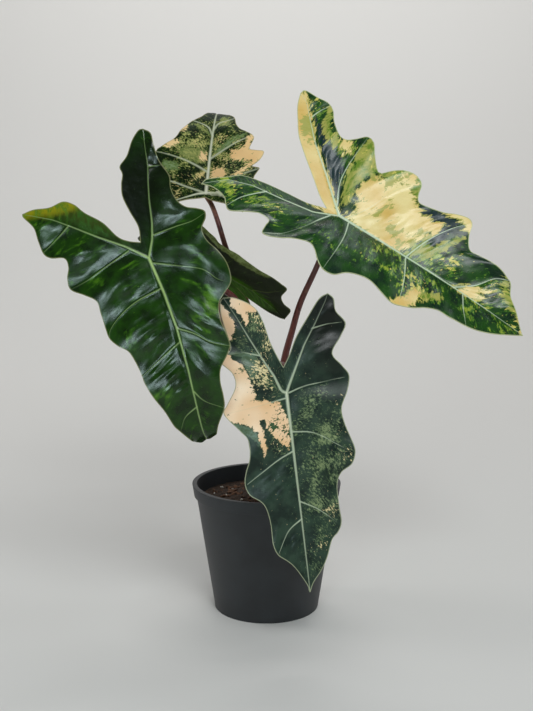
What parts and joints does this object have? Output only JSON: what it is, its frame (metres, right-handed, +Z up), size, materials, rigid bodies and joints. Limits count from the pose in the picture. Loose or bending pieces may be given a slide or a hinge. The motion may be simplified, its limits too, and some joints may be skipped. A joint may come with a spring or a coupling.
{
  "type": "potted variegated alocasia pseudo-sanderiana",
  "caption": "Potted alocasia with arrow-shaped, lobed, wavy leaves, dark green and marbled with cream, on slender reddish petioles from a short rootstock in a plain round pot of soil.",
  "frame": {"origin": "centre of the pot's flat underside", "axes": "+Z up the pot's axis, -Y towards the side that the leaves' upper faces show, +X to the viewer's right"},
  "size_m": [0.4159, 0.2741, 0.4713],
  "materials": {
    "pot": "plain matte charcoal moulded plastic",
    "soil": "moist bark and peat potting mix with a little perlite",
    "rootstock": "dull brown, scaly",
    "petiole": "smooth reddish brown, faintly mottled",
    "blade_front": "waxy: cream on one half, dark grey-green and speckled on the other",
    "blade_right": "waxy: dark green with broad cream-yellow sectors and lime flecks",
    "blade_left": "glossy deep green with pale veins",
    "blade_top": "waxy green marbled with cream",
    "blade_rear": "dull olive underside, glossier green upper face"
  },
  "bodies": {
    "root": {"pot": "pot", "soil": "soil", "rootstock": "rootstock", "petiole_front": "petiole", "petiole_right": "petiole", "petiole_left": "petiole", "petiole_top": "petiole", "petiole_rear": "petiole", "blade_front": "blade_front", "blade_right": "blade_right", "blade_left": "blade_left", "blade_top": "blade_top", "blade_rear": "blade_rear"}
  },
  "joints": []
}
